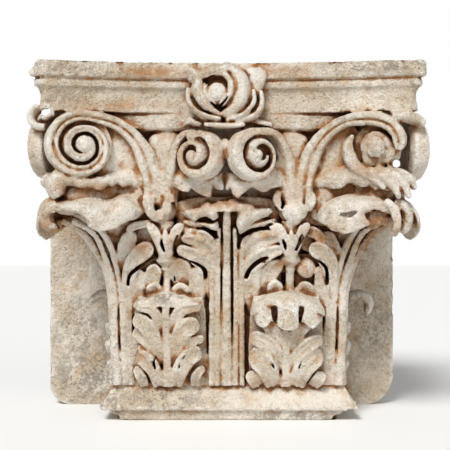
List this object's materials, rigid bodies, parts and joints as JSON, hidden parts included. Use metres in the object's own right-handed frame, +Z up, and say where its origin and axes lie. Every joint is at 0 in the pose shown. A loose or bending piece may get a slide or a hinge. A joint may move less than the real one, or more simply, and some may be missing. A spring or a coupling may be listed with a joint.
{
  "type": "corinthian pilaster capital",
  "caption": "Carved marble Corinthian pilaster capital on a backing slab, with acanthus leaves, scrolled volutes, a central rose and a moulded abacus; worn, with broken tips.",
  "frame": {"origin": "centre of the bounding box's footprint, on the bed the capital stands on", "axes": "+Z up, -Y out of the carved front, +Y into the wall behind the slab, +X to the viewer's right"},
  "size_m": [0.6218, 0.317, 0.566],
  "materials": {
    "marble": "matte, weathered, with rust-brown stains in the hollows"
  },
  "bodies": {
    "root": {"capital": "marble"}
  },
  "joints": []
}
